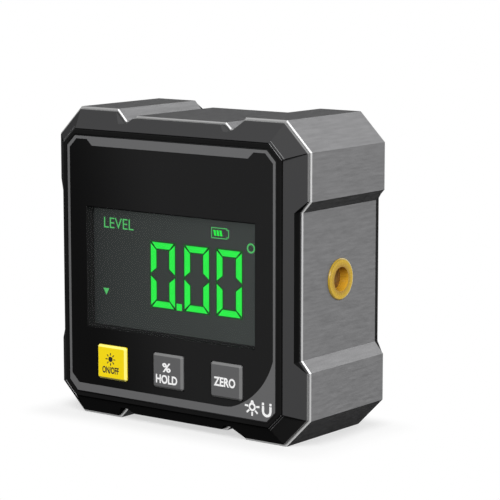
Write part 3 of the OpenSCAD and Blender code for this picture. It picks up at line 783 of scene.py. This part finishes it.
def round_outline(x, z, radius, steps=32, start=0.0, sweep=2 * math.pi):
    """A circle, or an arc with both its ends."""
    turns = steps if abs(sweep - 2 * math.pi) < 1e-6 else steps + 1
    return [(x + radius * math.cos(start + sweep * i / steps),
             z + radius * math.sin(start + sweep * i / steps)) for i in range(turns)]


def box_outline(left, foot, right, top):
    return [(left, foot), (right, foot), (right, top), (left, top)]


# %% [markdown]
# Ink and light are the last finishes. Printed ink is matt and slightly uneven.
# The lit bars of the display glow by themselves, so they use emission, with a
# dark green edge round each where the light fades.

# %% Inks and lights
grey_ink = grained("grey_ink", (0.122, 0.122, 0.124), 0.03, 0.55, 0.15, 0.002, gloss=0.15)
white_ink = grained("white_ink", (0.97, 0.97, 0.97), 0.02, 0.5, 0.10, 0.001, gloss=0.2)
black_ink = grained("black_ink", (0.010, 0.010, 0.010), 0.10, 0.5, 0.10, 0.001, gloss=0.2)


def glowing(name, colour, uneven):
    finish, tree, shader = new_finish(name)
    shader.inputs["Base Color"].default_value = (0.01, 0.02, 0.01, 1)
    shader.inputs["Roughness"].default_value = 0.5
    shader.inputs["Specular IOR Level"].default_value = 0.05
    dark = [c * (1 - uneven) for c in colour]
    tree.links.new(tinted(tree, spread(tree, grain(tree, 1.2), 0, 1), dark, colour),
                   shader.inputs["Emission Color"])
    shader.inputs["Emission Strength"].default_value = 1
    return finish


lit_green = glowing("lit_green", (0.022, 0.95, 0.072), 0.06)
soft_green = glowing("soft_green", (0.095, 0.56, 0.150), 0.10)
edge_green = glowing("edge_green", (0.008, 0.060, 0.014), 0.10)
print("inks and lights ready")

# %% [markdown]
# The grey border is printed round the panel: a fine line, a broad band along
# the top and the bottom, and a curved field in the lower right corner. It is
# drawn as one outer outline with one inner outline as its hole.

# %% Printed border
border_half = 24.8
border_corner = 1.95
line_w = 0.55
mid_z = panel_mid.z / mm
top_z = mid_z + border_half
foot_z = mid_z - border_half
band_top_half, band_low_half, band_depth = 19.9, 18.6, 1.2
foot_band_z = foot_z + 1.55
field_middle, field_radius, field_foot_x = (10.6, 20.6), 14.3, 13.2
field_start, field_sweep = math.radians(-16.5), math.radians(-57)

outer = [
    (border_half, top_z - border_corner), (border_half - border_corner, top_z),
    (border_corner - border_half, top_z), (-border_half, top_z - border_corner),
    (-border_half, foot_z + border_corner), (border_corner - border_half, foot_z),
    (border_half - border_corner, foot_z), (border_half, foot_z + border_corner),
]
inner_half = border_half - line_w
inner_corner = border_corner - 0.2
field_arc = round_outline(*field_middle, field_radius, 20, field_start, field_sweep)
inner = [
    (inner_half, top_z - line_w - inner_corner),
    (inner_half - inner_corner, top_z - line_w),
    (band_top_half, top_z - line_w),
    (band_low_half, top_z - line_w - band_depth),
    (-band_low_half, top_z - line_w - band_depth),
    (-band_top_half, top_z - line_w),
    (inner_corner - inner_half, top_z - line_w),
    (-inner_half, top_z - line_w - inner_corner),
    (-inner_half, foot_band_z + inner_corner),
    (inner_corner - inner_half, foot_band_z),
    (field_foot_x, foot_band_z),
    *reversed(field_arc),
]
flat_print("panel_border", [outer, inner], grey_ink, panel_face)

# %% [markdown]
# The moulding's corner flanks are set back by a hair. The shade of that step
# is painted as a fine dark strip along the crease to the flank beside it, and
# its lit edges as two fine pale strips along the lip, painted highlights that
# are darker where they look down. Each line is a thin strip that lies on the
# corner flank. Its corners come from the moulding's own octagons, and four
# corners mirror one.

# %% Fine lines on the corner flanks
lip_inset, lip_cut = 3.9, 2.95
lip_plane, foot_plane = (flank_top - flank_drop) / mm, frame_low.y / mm - 0.35
shade_line_w, edge_line_w, strip_proud, strip_deep = 0.2, 0.06, 0.012, 0.02
edge_line_places = (0.06, 0.56)
shade_line_ends, edge_ends = (0.02, 0.97), (0.03, 0.97)


def octagon_corners(inset_mm, cut, plane):
    """The two ends of an octagon's upper right edge, in millimetres."""
    reach = frame_high.x / mm - inset_mm
    return Vector((reach, plane, reach - cut)), Vector((reach - cut, plane, reach))


lip_a, lip_b = octagon_corners(lip_inset, lip_cut, lip_plane)
slack = foot_inset * (math.tan(math.pi / 8) - 1)
foot_a, foot_b = octagon_corners(foot_inset / mm, (foot_cut + slack) / mm, foot_plane)


def crease_shade_strip():
    """A painted shade line down the crease between the corner flank and the side flank."""
    near = [lip_a.lerp(foot_a, share) for share in shade_line_ends]
    far = [point + (end - start).normalized() * shade_line_w
           for point, start, end in zip(near, (lip_a, foot_a), (lip_b, foot_b))]
    return [near[0], near[1], far[1], far[0]]


def edge_strip(place):
    """A painted highlight line along the lip, at a place in millimetres down the flank."""
    down = [(foot - lip).normalized() for lip, foot in ((lip_a, foot_a), (lip_b, foot_b))]
    starts = [lip_a.lerp(lip_b, share) for share in edge_ends]
    high, low = ([start + way * far for start, way in zip(starts, down)]
                 for far in (place, place + edge_line_w))
    return [high[0], low[0], low[1], high[1]]


def thick(flat):
    """The eight corners of a strip that stands a hair proud of its flank."""
    out = (flat[1] - flat[0]).cross(flat[3] - flat[0]).normalized()
    out *= -1 if out.y > 0 else 1
    return [p + out * strip_proud for p in flat] + [p - out * strip_deep for p in flat]


def corner_strips(name, finish, flats):
    """One piece with a copy of each strip at all four corners."""
    box_faces = [(0, 1, 2, 3), (7, 6, 5, 4), (0, 4, 5, 1), (1, 5, 6, 2), (2, 6, 7, 3), (3, 7, 4, 0)]
    points, sides = [], []
    for flat in flats:
        for across, up in ((1, 1), (-1, 1), (1, -1), (-1, -1)):
            sides += [tuple(i + len(points) for i in face) for face in box_faces]
            points += [(p.x * across * mm, p.y * mm, p.z * up * mm + middle.z) for p in thick(flat)]
    mesh = bpy.data.meshes.new(name)
    mesh.from_pydata(points, [], sides)
    mesh.materials.append(finish)
    close_up(mesh)
    add_piece(name, mesh)


# Painted shade: a dark strip down each crease.
seam_shade = grained("seam_shade", (0.006, 0.006, 0.006), 0.10, 0.6, 0.12, 0.001, gloss=0)
corner_strips("corner_shade_lines", seam_shade, [crease_shade_strip()])
# Painted highlight: pale strips along the lip, painted darker where they look down.
edge_shine = grained("edge_shine", (0.34, 0.34, 0.345), 0.10, 0.5, 0.12, 0.001, gloss=0.2)
looks_down = towards(edge_shine.node_tree, (0, 0, -1), 0.3, 0.45)
over_base(edge_shine, looks_down, (0.10, 0.10, 0.10), "MULTIPLY")
corner_strips("corner_highlights", edge_shine, [edge_strip(place) for place in edge_line_places])

# %% [markdown]
# Copies that stand round a middle, such as the rays of the sun and of the
# lamp sign, come from one Geometry Nodes tree. It puts one instance for each
# copy on the same spot and turns each a little farther. Realize Instances
# makes them real faces, which the export needs.

# %% Geometry Nodes tree that turns copies round a middle
def tree_with(name, *sockets):
    """Returns a new tree, its entry sockets and the socket where it leaves."""
    tree = bpy.data.node_groups.new(name, "GeometryNodeTree")
    tree.interface.new_socket("Geometry", in_out="OUTPUT", socket_type="NodeSocketGeometry")
    tree.interface.new_socket("Geometry", in_out="INPUT", socket_type="NodeSocketGeometry")
    for title, kind in sockets:
        tree.interface.new_socket(title, in_out="INPUT", socket_type=kind)
    leave = tree.nodes.new("NodeGroupOutput").inputs["Geometry"]
    return tree, tree.nodes.new("NodeGroupInput").outputs, leave


def finish_tree(tree, entry, leave, copies):
    real = made(tree, "GeometryNodeRealizeInstances", Geometry=copies)
    coat = made(tree, "GeometryNodeSetMaterial", Geometry=real, Material=entry["Finish"])
    tree.links.new(coat, leave)


def turned_copies():
    tree, entry, leave = tree_with(
        "turned_copies", ("Copies", "NodeSocketInt"), ("First Turn", "NodeSocketFloat"),
        ("Step", "NodeSocketFloat"), ("Middle", "NodeSocketVector"),
        ("Finish", "NodeSocketMaterial"))
    spots = made(tree, "GeometryNodeMeshLine", Count=entry["Copies"], Offset=(0, 0, 0))
    number = made(tree, "GeometryNodeInputIndex")
    turn = calc(tree, "MULTIPLY_ADD", number, entry["Step"], entry["First Turn"])
    about_y = made(tree, "ShaderNodeCombineXYZ", Y=turn)
    copies = made(tree, "GeometryNodeInstanceOnPoints", Points=spots,
                  Instance=entry["Geometry"], Rotation=about_y)
    moved = made(tree, "GeometryNodeTransform", Geometry=copies, Translation=entry["Middle"])
    finish_tree(tree, entry, leave, moved)
    return tree


def apply_tree(name, mesh, tree, body="housing", **values):
    """Runs a tree on a mesh and keeps the result as a plain mesh piece."""
    maker = in_scene(name, mesh)
    modifier = maker.modifiers.new("maker", "NODES")
    modifier.node_group = tree
    for item in tree.interface.items_tree:
        if item.item_type == "SOCKET" and item.in_out == "INPUT" and item.name in values:
            modifier[item.identifier] = values[item.name]
    result = plain_mesh(name, maker)
    maker.modifiers.remove(modifier)
    bpy.data.objects.remove(maker)
    add_piece(name, result, body)


around = turned_copies()
print("tree", around.name, "with", len(around.nodes), "nodes")

# %% [markdown]
# Two small white signs sit in the grey corner field: a lamp with five rays,
# and a horseshoe magnet. Both are everyday signs with no maker of their own.

# %% Lamp and magnet signs
sign_lift = 0.012 * mm
sign_face = panel_face - sign_lift
lamp_x, lamp_z = 19.6, 7.55
lamp_ring, lamp_bore = 0.80, 0.42
ray_from, ray_to, ray_half = 0.92, 1.68, 0.18
cap_w, cap_h, cap_sunk = 0.85, 0.42, 0.05

flat_print("lamp_bulb", [
    round_outline(lamp_x, lamp_z, lamp_ring), round_outline(lamp_x, lamp_z, lamp_bore)],
    white_ink, sign_face)
cap_foot, cap_top = lamp_z + lamp_ring - cap_sunk, lamp_z + lamp_ring + cap_h
flat_print("lamp_cap", [[
    (lamp_x - cap_w / 2, cap_foot), (lamp_x + cap_w / 2, cap_foot),
    (lamp_x + cap_w / 4, cap_top), (lamp_x - cap_w / 4, cap_top)]], white_ink, sign_face)
ray = flat_mesh("lamp_rays", [box_outline(-ray_half, -ray_from, ray_half, -ray_to)], white_ink, 0)
apply_tree("lamp_rays", ray, around, **{
    "Copies": 5, "First Turn": -math.radians(96), "Step": math.radians(48),
    "Middle": (lamp_x * mm, sign_face, lamp_z * mm), "Finish": white_ink})

magnet_x, magnet_top, magnet_foot = 22.92, 8.66, 6.05
magnet_out, magnet_in = 1.10, 0.60
bow_z = magnet_foot + magnet_out
gap_low, gap_high = 8.06, 8.20
flat_print("magnet_bow", [
    [(magnet_x - magnet_out, gap_low),
     *round_outline(magnet_x, bow_z, magnet_out, 20, math.pi, math.pi),
     (magnet_x + magnet_out, gap_low), (magnet_x + magnet_in, gap_low),
     *round_outline(magnet_x, bow_z, magnet_in, 20, 0, -math.pi),
     (magnet_x - magnet_in, gap_low)]], white_ink, sign_face)
flat_print("magnet_poles", [
    box_outline(magnet_x + side * magnet_in, gap_high, magnet_x + side * magnet_out, magnet_top)
    for side in (-1, 1)], white_ink, sign_face)

# %% [markdown]
# A figure on the display is made of bars with mitred ends. A zero lights six
# of the seven: all but the middle one. The bars of one zero are drawn once,
# and a second tree sets the row of three, with extra room after the first
# figure for the decimal point.

# %% Bars of one figure
figure_w, figure_h = 5.80, 12.35
figure_foot = 23.25
bar_w = 1.32
bar_gap = 0.15
mid_gap = 0.32


def grown(outline, by):
    """Moves every edge of a convex outline outward."""
    corners = [Vector(point) for point in outline]
    ahead_of = corners[1:] + corners[:1]
    area = sum(here.x * after.y - after.x * here.y for here, after in zip(corners, ahead_of))
    side = 1 if area > 0 else -1
    result = []
    for before, here, after in zip(corners[-1:] + corners[:-1], corners, ahead_of):
        first = (here - before).normalized()
        second = (after - here).normalized()
        out_a = Vector((first.y, -first.x)) * side
        out_b = Vector((second.y, -second.x)) * side
        corner = here + (out_a + out_b) * by / (1 + out_a.dot(out_b))
        result.append((corner.x, corner.y))
    return result


def zero_bars():
    """The six bars of a zero, with its foot at Z = 0."""
    half, top = figure_w / 2, figure_h
    flat_bar = [(-half + 2 * bar_gap, top), (half - 2 * bar_gap, top),
                (half - bar_w, top - bar_w + bar_gap), (-half + bar_w, top - bar_w + bar_gap)]
    side_bar = [(-half, top - 2 * bar_gap), (-half + bar_w, top - bar_w - bar_gap),
                (-half + bar_w, top / 2 + mid_gap + 0.75 * bar_w), (-half, top / 2 + mid_gap)]
    bars = []
    for across in (1, -1):
        upper = [(across * x, z) for x, z in side_bar]
        bars += [upper, [(x, top - z) for x, z in upper]]
    return bars + [flat_bar, [(x, top - z) for x, z in flat_bar]]


def row_of_figures():
    tree, entry, leave = tree_with(
        "row_of_figures", ("Figures", "NodeSocketInt"), ("Pitch", "NodeSocketVector"),
        ("Point Room", "NodeSocketVector"), ("First", "NodeSocketVector"),
        ("Finish", "NodeSocketMaterial"))
    spots = made(tree, "GeometryNodeMeshLine", Count=entry["Figures"],
                 Start_Location=entry["First"], Offset=entry["Pitch"])
    after_point = calc(tree, "MINIMUM", made(tree, "GeometryNodeInputIndex"), 1)
    extra = vector_calc(tree, "MULTIPLY", entry["Point Room"], after_point)
    shifted = made(tree, "GeometryNodeSetPosition", Geometry=spots, Offset=extra)
    copies = made(tree, "GeometryNodeInstanceOnPoints", Points=shifted, Instance=entry["Geometry"])
    finish_tree(tree, entry, leave, copies)
    return tree


# %% Row of three figures
figure_pitch = 7.65
point_room = 0.45
first_figure = -2.75
edge_w = 0.26
halo_lift = 0.01 * mm
row = row_of_figures()
for name, bars, finish, lift in (
        ("digit_edges", [grown(bar, edge_w) for bar in zero_bars()], edge_green, 0),
        ("digit_bars", zero_bars(), lit_green, halo_lift)):
    joined = bmesh.new()
    for bar in bars:
        joined.from_mesh(flat_mesh(name, [bar], finish, 0))
    one = bpy.data.meshes.new(name)
    joined.to_mesh(one)
    joined.free()
    apply_tree(name, one, row, **{
        "Figures": 3, "Pitch": (figure_pitch * mm, 0, 0), "Point Room": (point_room * mm, 0, 0),
        "First": (first_figure * mm, glass_face - lift, figure_foot * mm), "Finish": finish})

# %% [markdown]
# The small signs of the display are the decimal point, the degree ring, the
# battery gauge, the level word and its arrow.

# %% Small display signs
point_left, point_foot, point_w = 0.52, 23.12, 1.27
flat_print("decimal_point", [
    box_outline(point_left, point_foot, point_left + point_w, point_foot + point_w)],
    lit_green, glass_face)
degree_x, degree_z, degree_radii = 17.98, 36.45, (0.93, 0.62)
flat_print("degree_ring", [round_outline(degree_x, degree_z, radius) for radius in degree_radii],
           soft_green, glass_face)

battery_left, battery_right, battery_foot, battery_top = 8.83, 12.52, 37.57, 39.62
wall, nub_w, nub_h = 0.16, 0.42, 0.75
battery_mid = (battery_foot + battery_top) / 2


def battery_outline(inset):
    left, right, nub = battery_left + inset, battery_right - inset, battery_right + nub_w - inset
    foot, top = battery_foot + inset, battery_top - inset
    nub_foot, nub_top = battery_mid - nub_h + inset, battery_mid + nub_h - inset
    return [(left, foot), (right, foot), (right, nub_foot), (nub, nub_foot),
            (nub, nub_top), (right, nub_top), (right, top), (left, top)]


flat_print("battery_shell", [battery_outline(0), battery_outline(wall)], soft_green, glass_face)
bar_left, bar_step, bar_wide, bar_lean, bar_room = 9.3, 0.70, 0.50, 0.22, 0.5
bar_starts = [bar_left + bar_step * i for i in range(3)]
flat_print("battery_bars", [
    [(x + bar_lean, battery_foot + bar_room), (x + bar_lean + bar_wide, battery_foot + bar_room),
     (x + bar_wide, battery_top - bar_room), (x, battery_top - bar_room)] for x in bar_starts],
    lit_green, glass_face)
legend("level_word", "LEVEL", soft_green, glass_face, (-13.57, 38.33), 2.05, 7.35, -0.01, "housing")
arrow_x, arrow_top, arrow_foot, arrow_half = -16.83, 25.6, 24.3, 0.74
flat_print("level_arrow", [[
    (arrow_x - arrow_half, arrow_top), (arrow_x, arrow_foot), (arrow_x + arrow_half, arrow_top)]],
    soft_green, glass_face)

# %% [markdown]
# Each key carries its legend as ink on its face, so the legend rides on the
# key's own body and goes in with it when the key is pressed.

# %% Key legends
key_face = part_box("power_button")[0][1]
sun_x, sun_z = -13.97, 12.35
flat_print("sun_disc", [round_outline(sun_x, sun_z, 0.52)], black_ink, key_face, "power_key")
sun_ray_outline = [(-0.12, 0.74), (0.12, 0.74), (0.09, 1.22), (-0.09, 1.22)]
sun_ray = flat_mesh("sun_rays", [sun_ray_outline], black_ink, 0)
apply_tree("sun_rays", sun_ray, around, "power_key", **{
    "Copies": 8, "First Turn": 0.0, "Step": math.radians(45),
    "Middle": (sun_x * mm, key_face, sun_z * mm), "Finish": black_ink})
legend("on_off_word", "ON/OFF", black_ink, key_face, (sun_x, 10.22), 1.24, 4.05, 0.055,
       "power_key")
legend("percent_sign", "%", white_ink, key_face, (-0.15, 12.42), 1.62, 1.85, 0.07, "hold_key")
legend("hold_word", "HOLD", white_ink, key_face, (-0.15, 10.15), 1.56, 5.05, 0.07, "hold_key")
legend("zero_word", "ZERO", white_ink, key_face, (13.65, 11.42), 1.62, 4.80, 0.07, "zero_key")
